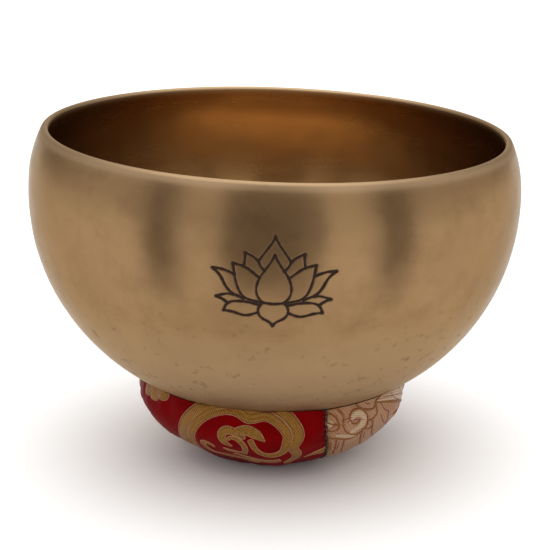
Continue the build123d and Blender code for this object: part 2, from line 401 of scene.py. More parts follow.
def build_bowl():
    """The bronze shell, with the lotus cut into its front, and the dark filling of the lines."""
    columns = BOWL_COLUMNS
    profile, outer_rows = bowl_profile(BOWL_SPACING)
    rows = len(profile)
    angles = np.arange(columns) * 2 * math.pi / columns
    r, z = profile[:, 0][:, None], profile[:, 1][:, None]
    points = np.stack([r * np.cos(angles), r * np.sin(angles), z + 0 * angles], -1).reshape(-1, 3)
    is_inside = np.repeat(np.arange(rows) >= outer_rows, columns)
    radial = points[:, :2] / np.linalg.norm(points[:, :2], axis=1)[:, None]
    points[:, :2] += radial * uneven(points, is_inside)[:, None]

    faces = grid_faces(rows, columns, close_columns=True)
    caps = [[0, 0, profile[0, 1]], [0, 0, profile[-1, 1]]]
    first, last = len(points), len(points) + 1
    points = np.concatenate([points, caps])
    top = (rows - 1) * columns
    faces += [(first, (j + 1) % columns, j) for j in range(columns)]
    faces += [(last, top + j, top + (j + 1) % columns) for j in range(columns)]
    mesh = mesh_from("bowl", points, faces)

    # finer quads where the lotus is cut
    work = bmesh.new()
    work.from_mesh(mesh)
    middle_z = (LOTUS_FOOT + LOTUS_TIP) / 2

    def in_window(face):
        centre = face.calc_center_median() / MM
        near = abs(centre.x) < WINDOW_WIDE and abs(centre.z - middle_z) < WINDOW_TALL
        outward = face.normal.x * centre.x + face.normal.y * centre.y > 0
        return centre.y < WINDOW_FRONT and near and outward

    work.normal_update()
    edges = {edge for face in work.faces if in_window(face) for edge in face.edges}
    bmesh.ops.subdivide_edges(work, edges=list(edges), cuts=CUTS_AT_LOTUS, use_grid_fill=True)
    work.verts.ensure_lookup_table()
    co = np.array([v.co for v in work.verts]) / MM
    window = (co[:, 1] < WINDOW_FRONT) & (np.abs(co[:, 0]) < WINDOW_WIDE + WINDOW_EDGE)
    window &= np.abs(co[:, 2] - middle_z) < WINDOW_TALL + WINDOW_EDGE
    window &= np.hypot(co[:, 0], co[:, 1]) > outer_radius(co[:, 2]) - WALL / 2
    patch = co[window]
    distance = line_distance(patch[:, [0, 2]], *lotus_curves())
    round_way = patch[:, :2] / np.hypot(patch[:, 0], patch[:, 1])[:, None]
    true = np.concatenate([round_way * outer_radius(patch[:, 2])[:, None], patch[:, 2:]], 1)
    slope = (patch[:, 2] - SIDE_CENTRE[1]) / SIDE_RADIUS
    across = np.sqrt(1 - slope ** 2)
    direction = np.concatenate([round_way * across[:, None], slope[:, None]], 1)
    surface = true.copy()
    surface[:, :2] += round_way * uneven(true, False)[:, None]
    depth = GROOVE_DEPTH * (1 - smooth_step((distance - LINE_WIDTH / 2 + GROOVE_INSET) / GROOVE_SIDE))
    co[window] = surface - direction * depth[:, None]

    on_line = distance < LINE_WIDTH / 2 + FILL_REACH
    line_index = {index: k for k, index in enumerate(np.flatnonzero(window)) if on_line[k]}
    fill_faces = [[v.index for v in face.verts] for face in work.faces
                  if all(v.index in line_index for v in face.verts)]
    used = sorted({i for face in fill_faces for i in face})
    renumber = {index: k for k, index in enumerate(used)}
    picked = [line_index[index] for index in used]
    fill_points = surface[picked] - direction[picked] * FILL_DEPTH

    for vertex, place in zip(work.verts, placed(co) * MM):
        vertex.co = place
    work.to_mesh(mesh)
    work.free()
    inside, cut = np.zeros((2, len(co)))
    inside[:len(is_inside)] = is_inside
    inside[last] = 1.0
    cut[window] = 1 - smooth_step((distance - LINE_WIDTH / 2) / TINT_REACH)
    attribute(mesh, "inside", "FLOAT", inside)
    attribute(mesh, "lip", "FLOAT", smooth_step((co[:, 2] - BOWL_HEIGHT + LIP_FROM) / LIP_CHANGE))
    attribute(mesh, "cut", "FLOAT", cut)
    mesh.update()
    bowl = new_object("bowl_bronze", mesh)

    fill_mesh = mesh_from("lotus", placed(fill_points), [[renumber[i] for i in face] for face in fill_faces])
    fill = new_object("lotus_fill", fill_mesh)
    return bowl, fill


def bronze():
    """Satin bronze: fine turning lines round the bowl, a light patina and a few dark pits; the lower wall is
    paler as a painted reflection of the floor, and the lip is paler as a painted highlight.
    """
    n = Nodes("satin_bronze")
    place = n.coordinates()
    inside, lip, cut = n.marked("inside"), n.marked("lip"), n.marked("cut")
    height = n.height(place)
    fine = n.noise(n.scaled(place, (60, 60, 2600)), 1.0, 3.0, 0.6)
    broad = n.noise(n.scaled(place, (30, 30, 220)), 1.0, 3.0, 0.55)
    cloud = n.noise(place, 26.0, 4.0, 0.6)
    blotch = n.noise(place, 70.0, 5.0, 0.65)
    gold = n.mix(n.ramp(cloud, [(0.3, 0.0), (0.72, 1.0)]), (0.255, 0.153, 0.072), (0.298, 0.182, 0.087))
    patina_and_painted_floor_light = n.mix(n.ramp(blotch, [(0.48, 0.0), (0.70, 0.7)]), gold, (0.228, 0.132, 0.063))
    # Painted reflection: the wall is paler towards the bottom, standing in for the bright floor it reflects
    # under the bowl's shade.
    patina_and_painted_floor_light = n.mix(n.ramp(height, [(0.34, 0.85), (0.58, 0.0)]), patina_and_painted_floor_light, (0.485, 0.333, 0.186))
    pits = n.ramp(n.noise(place, 240.0, 3.0, 0.55), [(0.60, 0.0), (0.72, 1.0)])
    low = n.ramp(height, [(0.42, 1.0), (0.66, 0.12)])
    pitted = n.math("MULTIPLY", n.math("MULTIPLY", pits, low), n.math("SUBTRACT", 1.0, inside))
    tone = n.mix(inside, patina_and_painted_floor_light, n.mix(0.75, patina_and_painted_floor_light, (0.405, 0.232, 0.091)))
    # Painted highlight: the top of the lip is paler, standing in for the bright ceiling it reflects.
    tone = n.mix(n.math("MULTIPLY", lip, 0.8), tone, (0.40, 0.275, 0.16))
    tone = n.mix(n.math("MULTIPLY", pitted, 0.6), tone, (0.165, 0.095, 0.048))
    colour = n.mix(n.math("MULTIPLY", cut, 0.8), tone, (0.060, 0.030, 0.018))
    rough = n.math("MULTIPLY_ADD", broad, 0.10, 0.28)
    rough = n.math("MULTIPLY_ADD", inside, -0.07, rough)
    rough = n.math("MULTIPLY_ADD", lip, 0.20, rough)
    rough = n.math("MULTIPLY_ADD", pitted, 0.2, rough)
    normal = n.bump(fine, 0.10, 0.0002)
    normal = n.bump(blotch, 0.06, 0.0010, normal)
    normal = n.bump(n.math("MULTIPLY", pitted, -1.0), 0.35, 0.0003, normal)
    tangent = n.add("Tangent")
    tangent.direction_type, tangent.axis = "RADIAL", "Z"
    return n.finish(Base_Color=colour, Metallic=1.0, Roughness=rough, Normal=normal,
                    Specular_Tint=(0.72, 0.66, 0.58, 1), Tangent=tangent.outputs[0],
                    Anisotropic=0.6, Anisotropic_Rotation=0.25)


def engraving_dark():
    n = Nodes("engraving_dark")
    grain = n.noise(n.coordinates(), 1800.0, 3.0, 0.6)
    colour = n.mix(grain, (0.010, 0.0045, 0.003), (0.030, 0.0135, 0.008))
    return n.finish(Base_Color=colour, Roughness=0.62, Specular_IOR_Level=0.12,
                    Normal=n.bump(grain, 0.4, 0.0001))


bowl, lotus = build_bowl()
bowl.data.materials.append(bronze())
lotus.data.materials.append(engraving_dark())
for piece, node, slot in ((bowl, "bowl_shell", "bronze"), (lotus, "lotus_engraving", "engraving_fill")):
    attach(piece, "bowl")
    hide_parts(node)


# --- the cushion's surface ---

def bezier(points, count):
    p = np.array(points, float)
    t = np.linspace(0, 1, count)[:, None]
    return (1 - t) ** 3 * p[0] + 3 * (1 - t) ** 2 * t * p[1] + 3 * (1 - t) * t ** 2 * p[2] + t ** 3 * p[3]


def ring_section():
    """The cushion's closed section before the bowl presses on it, from the foot's outer edge up and round."""
    out, top, hole = RING_OUTER, RING_TOP_Z, HOLE_RADIUS
    parts = [
        bezier([(FOOT_OUTER, 0), (34, 3.2), (out, 16), (out, RING_WIDEST_Z)], 400),
        bezier([(out, RING_WIDEST_Z), (out, 40), (48, top), (RING_TOP_R, top)], 300)[1:],
        bezier([(RING_TOP_R, top), (20, top), (hole, 38), (hole, HOLE_Z)], 300)[1:],
        bezier([(hole, HOLE_Z), (hole, 12), (10.5, 0), (FOOT_INNER, 0)], 200)[1:],
        np.linspace((FOOT_INNER, 0), (FOOT_OUTER, 0), 80)[1:],
    ]
    return np.concatenate(parts)


SECTION = ring_section()
ALONG = travelled(SECTION)
ROUND = ALONG[-1]
SEAT_EDGE = 54.0
HOLE_TOP = float(np.interp(0, HOLE_Z - SECTION[700:1100, 1], ALONG[700:1100]))
CLOSING_AT = float(np.interp(0, 17.0 - SECTION[900:, 1], ALONG[900:]))
WAY = unit(np.gradient(SECTION, axis=0))


def clear_of_bowl(points, gap, softness):
    """Points moved straight out of the bowl until the gap is left, softly near the edge of the seat."""
    belly = BOWL_LIFT + SIDE_CENTRE[1]
    c, s = math.cos(LEAN), math.sin(LEAN)
    x, z = points[:, 0], points[:, 2] - belly
    x, z = x * c - z * s, z * c + x * s + SIDE_CENTRE[1]
    y = points[:, 1]
    r = np.hypot(x, y)
    (corner_r, corner_z), corner, _, meet = bowl_arcs(0.0, SHOULDER_RADIUS)[0]
    flat = r < corner_r
    to_corner = np.stack([np.where(flat, 0, r - corner_r), z - corner_z], 1)
    to_side = np.stack([r - SIDE_CENTRE[0], z - SIDE_CENTRE[1]], 1)
    beyond = np.arctan2(to_corner[:, 0], -to_corner[:, 1]) > meet
    way = np.where(beyond[:, None], to_side, to_corner)
    size = np.linalg.norm(way, axis=1)
    away = size - np.where(beyond, SIDE_RADIUS, corner)
    way = way / size[:, None]
    push = gap + softness * np.logaddexp(0, (away - gap) / softness) - away
    push = np.where(away > gap + 12 * softness, 0, push)
    grow = (r + way[:, 0] * push) / np.maximum(r, 1e-6)
    return placed(np.stack([x * grow, y * grow, z + way[:, 1] * push], 1))


def seam_drift(along):
    """How far round, in radians, the seams have moved on by a length up the section."""
    up = np.clip((DRIFT_FROM - along) / (DRIFT_FROM - DRIFT_TO), 0, 1) ** 1.6
    under = smooth_step((along - ROUND + 50) / 46)
    return SEAM_DRIFT * np.where(along < ROUND / 2, up, under)


def seam_gap(phi, along):
    """Signed angle in radians to the nearest seam."""
    seams = np.radians(list(SEAMS.values()))
    off = (phi[:, None] - seams - seam_drift(along)[:, None] + math.pi) % (2 * math.pi) - math.pi
    return off[np.arange(len(phi)), np.abs(off).argmin(1)]


PLY, PLY_OFFSET, PLY_TWIST, PLY_SIDES = 0.115, 0.075, 1.3, 6
SEAM_HALF_GAP, STUFFING_CLEAR, STUFFING_GAP = 0.05, 0.55, 0.9
PANEL_ROWS, PANEL_SPACING, STUFFING_ROWS, STUFFING_COLUMNS = 150, 0.85, 90, 260
FLOOR_SOFTNESS, FOOT_HEIGHT, FOOT_DROP = 0.25, 0.3, 0.17
BAND_STEP, BAND_SUNK, RIM_MARGIN = 0.55, -0.12, 0.1
SEAT_GAP, SEAT_SOFTNESS, FIGURE_GAP, THREAD_GAP, CRISP = 0.35, 0.35, 0.12, 0.45, 0.1
# Where the stuffing is fuller or slacker: angle in degrees, height up the section, amount in mm, and reach.
FILL_LUMPS = [
    (-150, 26, -0.3, 0.45, 13), (-26, 36, -1.6, 0.5, 9), (-46, 20, 0.8, 0.5, 9), (60, 28, 0.8, 0.6, 14),
]


def relief(phi, along, base):
    """How far the sewn and stuffed cloth stands out from the plain ring, in mm."""
    radius = np.hypot(base[:, 0] - CUSHION_X, base[:, 1])
    gap = np.abs(seam_gap(phi, along)) * radius
    span = np.clip(radius / RING_OUTER, 0.25, 1)
    pinch = -1.25 * np.exp(-(gap / 1.3) ** 2) * span
    stitched = 1 + 0.35 * np.cos(2 * math.pi * along / STITCH_PITCH)
    pinch -= 0.55 * np.exp(-(gap / 3.6) ** 2) * span * stitched
    crown = 0.45 * (1 - np.exp(-(gap / 12) ** 2))
    puckers = 0.22 * np.sin(2 * math.pi * along / 7.5 + 3 * phi) * np.exp(-(gap / 7) ** 2)
    slow = 0.42 * plane_waves(base, 31, 14, 20, 46)
    small = 0.09 * plane_waves(base, 32, 20, 7, 13)
    low = np.minimum(along, ROUND - along)
    near_foot = np.where(along < ROUND / 2, smooth_step(1 - along / 22), 1.0)
    in_hole = smooth_step((along - HOLE_TOP + 26) / 22)
    gather = np.where(along < ROUND / 2, 0.22 * near_foot, 0.75 * in_hole)
    folds = np.sin(34 * phi + 2.2 * np.sin(5 * phi) + 0.03 * low) + 0.5 * np.sin(21 * phi + 1.3)
    under_bowl = np.exp(-((along - SEAT_EDGE + 2) / 5) ** 2)
    creases = 0.16 * under_bowl * np.sin(46 * phi + 3 * np.sin(7 * phi))
    uneven_fill = 0.0
    for angle, up, amount, wide, tall in FILL_LUMPS:
        off = (phi - math.radians(angle) + math.pi) % (2 * math.pi) - math.pi
        uneven_fill = uneven_fill + amount * np.exp(-(off / wide) ** 2 - ((along - up) / tall) ** 2)
    return pinch + crown + puckers + slow + small + gather * folds * 0.6 + creases + uneven_fill


def cloth(phi, along, lift=0.0, gap=SEAT_GAP, softness=SEAT_SOFTNESS):
    """Points on the cushion's cloth, at an angle and a length up the section; lift is in mm."""
    phi, along = (np.asarray(v, float).ravel() for v in (phi, along))
    along = along % ROUND
    r, z = (np.interp(along, ALONG, SECTION[:, k]) for k in (0, 1))
    way_r, way_z = (np.interp(along, ALONG, WAY[:, k]) for k in (0, 1))
    c, s = np.cos(phi), np.sin(phi)
    base = np.stack([r * c + CUSHION_X, r * s, z], 1)
    normal = np.stack([way_z * c, way_z * s, -way_r], 1)
    points = base + normal * (relief(phi, along, base) + lift)[:, None]
    points = clear_of_bowl(points, gap, softness)
    # flattened where it stands on the table
    height = FLOOR_SOFTNESS * np.logaddexp(0, points[:, 2] / FLOOR_SOFTNESS)
    points[:, 2] = np.maximum(np.where(height < FOOT_HEIGHT, height - FOOT_DROP, height), 0.0)
    return points


def cloth_mesh(name, parts):
    """One mesh from parts of (points, faces, places on the cloth: degrees round and mm up the section)."""
    mesh = mesh_from(name, *joined(parts))
    places = np.concatenate([part[2] for part in parts])
    attribute(mesh, "cloth", "FLOAT_VECTOR", np.pad(places, ((0, 0), (0, 1))))
    return mesh


def panel_mesh(name, start, stop):
    """A closed shell of cloth from seam to seam: its outer face, hems turned in at the seams, and lining."""
    rows, columns = PANEL_ROWS, int(math.radians(stop - start) * RING_OUTER / PANEL_SPACING)
    along = np.arange(rows) * ROUND / rows
    phi = np.radians(np.linspace(start + SEAM_HALF_GAP, stop - SEAM_HALF_GAP, columns))
    grid_phi, grid_along = np.meshgrid(phi, along)
    grid_phi = grid_phi + seam_drift(grid_along)
    outer = cloth(grid_phi, grid_along)
    lining = cloth(grid_phi, grid_along, lift=-CLOTH, gap=SEAT_GAP + CLOTH)
    count = rows * columns
    faces = grid_faces(rows, columns, close_rows=True)
    inner = [tuple(i + count for i in reversed(face)) for face in faces]
    sides = []
    for i in range(rows):
        a, b = i * columns, (i + 1) % rows * columns
        sides.append((a, b, b + count, a + count))
        a, b = a + columns - 1, b + columns - 1
        sides.append((b, a, a + count, b + count))
    places = np.stack([np.degrees(grid_phi).ravel(), grid_along.ravel()], 1)
    points = np.concatenate([outer, lining])
    return cloth_mesh(name, [(points, faces + inner + sides, np.concatenate([places] * 2))])


def stuffing_mesh():
    rows, columns = STUFFING_ROWS, STUFFING_COLUMNS
    along = np.arange(rows) * ROUND / rows
    phi = np.arange(columns) * 2 * math.pi / columns
    grid_phi, grid_along = np.meshgrid(phi, along)
    base = cloth(grid_phi, grid_along)
    lumps = plane_waves(base, 41, 20, 6, 16) * 0.12
    depth = CLOTH + STUFFING_CLEAR
    points = cloth(grid_phi, grid_along, lift=-depth + lumps, gap=STUFFING_GAP + depth)
    points[:, 2] = np.maximum(points[:, 2], depth)
    return mesh_from("stuffing", points, grid_faces(rows, columns, True, True))


# --- woven figures and sewing ---

def band_line(path, widths, least):
    """A band's middle line, the way across it, and its width, rounded off at both ends."""
    line = smooth_curve(path, BAND_STEP)
    ahead = np.gradient(line, axis=0)
    ahead /= np.linalg.norm(ahead, axis=1)[:, None] + 1e-9
    so_far = travelled(line)
    wide = np.interp(so_far, np.linspace(0, so_far[-1], len(widths)), widths)
    left = np.minimum(so_far, so_far[-1] - so_far) / np.maximum(wide / 2, 1e-6)
    wide = wide * np.sqrt(np.clip(1 - (1 - np.clip(left, 0, 1)) ** 2, least, 1))
    return line, np.stack([-ahead[:, 1], ahead[:, 0]], 1), wide


def woven(path, widths, anchor, height, strands=1, flip=1):
    """A raised woven band on the cloth. Its path is in degrees from the anchor and mm up the section."""
    line, side, wide = band_line(path, widths, 0.0004)
    each = 4 if strands > 1 else 6
    across = np.linspace(-1, 1, strands * each + 1)
    within = (across + 1) / 2 * strands % 1 * 2 - 1
    crown = height * (1 - np.abs(within) ** 3)
    crown[np.abs(across) > 0.999] = BAND_SUNK / 3
    across = np.concatenate([across, [0.9, -0.9]])
    crown = np.concatenate([crown, [BAND_SUNK * 2, BAND_SUNK * 2]])
    flat = line[:, None, :] + side[:, None, :] * (across[None, :, None] * wide[:, None, None] / 2)
    flat = flat.reshape(-1, 2)
    rise = np.tile(crown, len(line)) * np.repeat(np.clip(wide / 0.6, 0.25, 1), len(crown))
    phi_deg = anchor + flip * flat[:, 0]
    points = cloth(np.radians(phi_deg), flat[:, 1], lift=rise, gap=FIGURE_GAP, softness=CRISP)
    return points, tube_faces(len(line), len(across)), np.stack([phi_deg, flat[:, 1]], 1)


def outline(path, widths):
    """The line round a band, from its start and back to it."""
    line, side, wide = band_line(path, widths, 0)
    reach = side * (wide / 2 + RIM_MARGIN)[:, None]
    return np.concatenate([line + reach, (line - reach)[::-1]])


# Figures of the red cloth: each a path (degrees round, mm up), its widths along the way, and its strands.
CLOUD = [
    ([(-40, 22), (-37, 30), (-32.3, 37.5), (-29, 43.5), (-25.5, 48), (-20, 52.5), (-10, 56), (-2, 56.3),
      (1, 54), (5, 56), (11, 55), (16, 51.5), (19.6, 46.5), (20.3, 42), (18.5, 37.5), (20.4, 33),
      (21.2, 28), (17, 20)],
     [4.6, 5.0, 4.6, 4.4, 4.2, 4.0], 1),
    ([(-36, 20), (-31.5, 28), (-27.6, 37.2), (-24.6, 42.8), (-21, 47.2), (-16, 50.9), (-9, 53.4), (-3, 52.6),
      (1, 50.6), (6, 51.6), (10.5, 50.2), (14.2, 46.8), (16, 43), (15.6, 39), (14.9, 35), (12.5, 31.6),
      (8, 29.8), (3.6, 32), (1.6, 36.6), (0.6, 41)],
     [3.4, 3.6, 3.6, 4.0, 3.6, 2.8, 2.0], 2),
    ([(-7.4, 36.8), (-10.2, 39.4), (-10.6, 43.4), (-8, 45.5), (-4.6, 44.4), (-1.4, 41.6)],
     [0.5, 2.6, 3.2, 3.0, 2.6, 1.4], 2),
    ([(-5.4, 45.0), (-1.4, 45.8), (2.8, 43.8), (6.6, 39.6)], [1.6, 4.0, 4.2, 0.4], 4),
    ([(-8.6, 40.6), (-7.2, 42.2), (-4.6, 41.4), (-2.6, 37.6), (-2.4, 33), (-4.5, 28)],
     [0.8, 1.7, 1.9, 2.2, 2.6], 2),
    ([(-17.0, 33.2), (-18.4, 35.8), (-21.6, 36), (-22, 31.5), (-19, 24.5), (-13, 19.8), (-6, 18), (0, 18.6),
      (3, 22.5)], [0.4, 2.0, 2.4, 2.8, 3.2, 3.8, 4.2, 3.6, 0.8], 2),
    ([(-12.4, 34.4), (-9.5, 31.5), (-5.5, 28.6)], [0.6, 2.0, 1.2], 1),
    ([(14, 26), (5, 22.5), (-4, 24), (-10, 27)], [2.6, 2.4, 2.0, 0.6], 1),
]
SPRAY = [
    ([(-7.2, -1.6), (-5.8, 4.5)], [6.4, 7.0], 1),
    ([(-1.2, -2.2), (-0.6, 4.5)], [7.0, 7.0], 1),
    ([(5.4, -0.6), (4.6, 4.5)], [6.8, 7.0], 1),
    ([(-10.5, 5.6), (0, 3.2), (9.5, 6.6)], [5.0, 6.2, 5.0], 1),
]
LEAF = [
    ([(-7, -1.5), (-2.4, 1.2), (3, 1.3), (8, -0.4)], [0.3, 3.2, 3.8, 2.6], 1),
]
SMALL_CLOUD = [
    ([(-6, 0), (-4, 3), (0, 3.6), (4, 2.6), (5.6, -0.6)], [0.6, 2.4, 3, 2.4, 0.6], 2),
    ([(-7.5, -2), (-3, -2.6), (2, -1.8), (8, -3)], [0.4, 2, 2.2, 0.4], 1),
]
RED_FIGURES = [
    (CLOUD, 0, 0),
    (SPRAY, -47.0, 50.8),
    (LEAF, 33, 26.8),
    (SMALL_CLOUD, -57, 33),
    (SMALL_CLOUD, -8, 66),
    (SMALL_CLOUD, -44, 68),
    (SMALL_CLOUD, 20, 69),
    (SPRAY, -66, 60),
    (SMALL_CLOUD, -22, 82),
    (SMALL_CLOUD, 4, 84),
]
# The cream cloth's blossom: outlines, fine veins, and pale petals under them.
SPIRAL = [(0.2, 46.2), (-0.6, 44.6), (-2.6, 44.4), (-4.6, 46.2), (-4.9, 48.6), (-2.8, 50.4), (0.6, 50.0),
          (3.4, 47.6), (4.6, 44.4), (4.8, 40.8), (2.2, 38.2), (-2.2, 38.6), (-6, 41.2), (-8, 44.8),
          (-7.6, 48.6)]
BLOSSOM_LINES = [
    SPIRAL,
    [(-7.6, 48.6), (-9.8, 51.5), (-12, 54)],
    [(-16, 51.2), (-13, 50.2), (-10.8, 47.9), (-9.9, 45), (-10.8, 42.6), (-14.5, 41.2)],
    [(-15, 46.4), (-12.6, 45.6), (-10.2, 45)],
    [(-14.5, 37.2), (-9, 36.6), (-3.5, 35.2), (0.5, 36.2), (3.4, 38.2)],
    [(-12.6, 36.8), (-9.6, 29), (-6.5, 22)],
    [(-8.6, 36.4), (-6, 29), (-3, 22)],
    [(-4.4, 35.4), (-1.6, 29), (1.8, 22.5)],
    [(4.2, 38.6), (7.6, 32), (14, 25)],
    [(9.4, 40.2), (14, 34), (21, 28.5)],
    [(4.8, 41.4), (7.6, 38.2), (9.4, 40.2), (6.6, 44)],
    [(4.6, 44.2), (7.8, 44.2), (9.9, 45.8), (9.4, 48.6), (9.2, 51.2)],
    [(-2, 53), (0.6, 50.4), (4.8, 48.8), (8, 48.8), (9.2, 51.2)],
    [(9.2, 51.2), (13, 52.6), (22, 53.4), (36, 50.6)],
    [(9.4, 50.6), (14, 49.6), (24, 47), (36, 43.4), (46, 41)],
    [(22, 41.5), (24.4, 43), (26, 40.5)],
    [(36, 43.4), (33, 38), (35, 31), (42, 26)],
    [(46, 41), (44, 34), (47, 28)],
]
SEAT_MOVES = [(9, 23), (36, 21)]
BLOSSOM_VEINS = [
    [(9.8, 51.5), (20, 50.6), (36, 46.6)],
    [(-8.8, 47), (-3.8, 47.6)],
    [(-6.4, 45.8), (-3, 46.2), (3, 45)],
    [(-12.8, 49), (-10.4, 49.4)],
    [(-1.4, 40.2), (3.6, 40.6)],
    [(-10.6, 40), (-8.6, 40.4)],
    [(3, 52), (6.6, 50.6)],
    [(-13.4, 43.8), (-11, 46)],
    [(-10.4, 34), (-7.4, 26)],
    [(-6.2, 34), (-3.6, 26)],
    [(6.4, 37), (11, 30)],
    [(13, 44.6), (16, 40.6), (22, 36.8)],
    [(17, 45.4), (20, 39.6), (27, 33.6)],
    [(26, 45), (28, 38.6), (34, 32)],
    [(12, 50.8), (14, 47), (18, 44.6)],
    [(19, 52.2), (21, 49.4), (26, 47.2)],
    [(28, 51.8), (30, 48.6), (35, 45.6)],
]
BLOSSOM_PETALS = [
    ([(9, 50.8), (16, 51), (24, 50), (38, 46.5)], [2.4, 4.2, 5.6, 6]),
    ([(-4, 40), (1, 42), (2, 47), (-2, 48.5), (-5, 45)], [3, 4, 3.6, 3, 2]),
    ([(-15, 44.5), (-12.6, 47)], [4.5, 4]),
    ([(-10, 38.8), (-3, 37.4), (3, 36.6)], [1.5, 3, 1.5]),
]


def red_figures(anchor, flip):
    gold, rims = [], []
    for figure, sideways, up in RED_FIGURES:
        for path, widths, strands in figure:
            moved = np.array(path, float) + (sideways, up)
            gold.append(woven(moved, widths, anchor, 0.30, strands, flip))
            rims.append(woven(outline(moved, widths), [0.34, 0.34], anchor, 0.36, flip=flip))
    return gold, rims


def cream_figures(anchor, flip):
    on_seat = [np.array(path) + move for move in SEAT_MOVES for path in BLOSSOM_LINES[:5]]
    lines = [woven(path, [0.9, 1.1, 0.9], anchor, 0.30, flip=flip) for path in BLOSSOM_LINES + on_seat]
    veins = [woven(path, [0.4, 0.4], anchor, 0.22, flip=flip) for path in BLOSSOM_VEINS]
    petals = [woven(path, widths, anchor, 0.10, flip=flip) for path, widths in BLOSSOM_PETALS]
    return lines, veins, petals


def tube(path, radius, sides):
    """A closed round thread along a path of points in mm."""
    ahead = unit(np.gradient(path, axis=0))
    up = np.zeros_like(path)
    guide = np.array([0.3, 0.2, 0.93])
    for k, way in enumerate(ahead):
        guide = guide - way * (guide @ way)
        guide /= np.linalg.norm(guide)
        up[k] = guide
    side = np.cross(ahead, up)
    turn = (np.arange(sides) * 2 * math.pi / sides)[None, :, None]
    rings = path[:, None] + radius * (np.cos(turn) * side[:, None] + np.sin(turn) * up[:, None])
    return rings.reshape(-1, 3), tube_faces(len(path), sides)


def sewn(name, routes):
    """A mesh of threads, each of two plies twisted together, from routes over the cloth (angle, up, lift)."""
    parts = []
    for route in routes:
        line = smooth_curve(route, 0.3)
        line = line[np.concatenate([[True], np.linalg.norm(np.diff(line, axis=0), axis=1) > 1e-6])]
        core = cloth(line[:, 0] / RING_OUTER, line[:, 1], line[:, 2], THREAD_GAP, CRISP)
        core[:, 2] = np.maximum(core[:, 2], PLY + PLY_OFFSET)
        ahead = unit(np.gradient(core, axis=0))
        side = unit(np.cross(ahead, (0.2, 0.1, 0.97)))
        up = np.cross(side, ahead)
        twist = travelled(core)[:, None] * 2 * math.pi / PLY_TWIST
        for turn in (0, math.pi):
            offset = PLY_OFFSET * (np.cos(twist + turn) * side + np.sin(twist + turn) * up)
            parts.append(tube(core + offset, PLY, PLY_SIDES))
    return mesh_from(name, *joined(parts))


def seam_routes(angle, seed):
    """A whipped seam: a leg into the red side at each stitch, and the thread lying along the seam between."""
    dice = random.Random(seed)
    count = int((HOLE_TOP - 2) / STITCH_PITCH)
    routes, last = [], None
    for k in range(count):
        up = 2.0 + k * STITCH_PITCH + dice.uniform(-0.35, 0.35)
        middle = (math.radians(angle) + float(seam_drift(np.array(up)))) * RING_OUTER
        radius = float(np.interp(up, ALONG, SECTION[:, 0]))
        wide = RING_OUTER / max(radius, 12)
        reach = dice.uniform(1.5, 2.1) * wide
        drop = dice.uniform(-0.5, 0.2)
        here = (middle + 0.25 * wide, up, 0.35)
        routes.append([
            (middle - reach, up + drop, -0.5),
            (middle - reach * 0.85, up + drop * 0.8, 0.12),
            (middle - reach * 0.4, up + drop * 0.3, 0.55),
            here,
            (middle + 0.75 * wide, up + 0.25, -0.1),
        ])
        if last is not None:
            routes.append([last, (middle + dice.uniform(-0.2, 0.3) * wide, (last[1] + up) / 2, 0.75), here])
        last = here
    return routes


def closing_routes():
    """Slanting stitches all round, across the line where the cover is closed in the hole."""
    dice = random.Random(77)
    count = 24
    routes = []
    for k in range(count):
        middle = 2 * math.pi * (k + 0.5) / count * RING_OUTER
        lean = dice.uniform(4, 8)
        routes.append([
            (middle - lean, CLOSING_AT - 2.4, -0.6),
            (middle - lean / 2, CLOSING_AT - 1.4, 0.35),
            (middle + lean / 2, CLOSING_AT + 1.4, 0.35),
            (middle + lean, CLOSING_AT + 2.4, -0.6),
        ])
    return routes


# --- the cushion's materials ---

def stripes(n, place, direction, period):
    """A wave from 0 to 1 across the cloth."""
    dot = n.add("VectorMath")
    dot.operation = "DOT_PRODUCT"
    n.set(dot, 0, place)
    n.set(dot, 1, (*direction, 0))
    angle = n.math("MULTIPLY", dot.outputs["Value"], 2 * math.pi / period)
    return n.math("MULTIPLY_ADD", n.math("SINE", angle), 0.5, 0.5)


def red_satin():
    """Deep red silk satin: long floats round the ring, and a slow change of depth."""
    n = Nodes("red_brocade_satin")
    place = n.marked("cloth", "Vector")
    floats = n.noise(n.scaled(place, (0.5, 4.0, 1)), 1.0, 3.0, 0.65)
    warp = stripes(n, place, (1, 0), 0.36)
    slow = n.noise(place, 0.09, 3.0, 0.55)
    tone = n.mix(n.ramp(slow, [(0.35, 0.0), (0.7, 1.0)]), (0.130, 0.0003, 0.0010), (0.180, 0.0005, 0.0016))
    tone = n.mix(n.math("MULTIPLY", floats, 0.5), tone, (0.085, 0.0003, 0.0008))
    normal = n.bump(floats, 0.35, 0.00012)
    normal = n.bump(warp, 0.12, 0.00006, normal)
    rough = n.math("MULTIPLY_ADD", floats, 0.2, 0.38)
    return n.finish(Base_Color=tone, Roughness=rough, Normal=normal,
                    Specular_IOR_Level=0.02, Specular_Tint=(1.0, 0.35, 0.3, 1))


def cream_damask():
    """Ivory and pink silk in a fine spotted twill."""
    n = Nodes("cream_brocade_damask")
    place = n.marked("cloth", "Vector")
    spots = n.math("MULTIPLY", stripes(n, place, (0.8, 0.6), 1.3), stripes(n, place, (-0.6, 0.8), 1.15))
    spots = n.ramp(spots, [(0.30, 0.0), (0.62, 1.0)])
    slow = n.noise(place, 0.12, 2.0, 0.5)
    threads = n.noise(n.scaled(place, (5.0, 0.7, 1)), 1.0, 2.0, 0.6)
    ground = n.mix(n.ramp(slow, [(0.4, 0.0), (0.65, 1.0)]), (0.275, 0.135, 0.066), (0.32, 0.175, 0.090))
    colour = n.mix(n.math("MULTIPLY", spots, 0.9), ground, (0.20, 0.030, 0.018))
    colour = n.mix(n.math("MULTIPLY", threads, 0.35), colour, (0.40, 0.26, 0.13))
    normal = n.bump(spots, 0.3, 0.00012)
    normal = n.bump(threads, 0.25, 0.00008, normal)
    return n.finish(Base_Color=colour, Roughness=0.55, Normal=normal,
                    Sheen_Weight=0.06, Specular_IOR_Level=0.2)


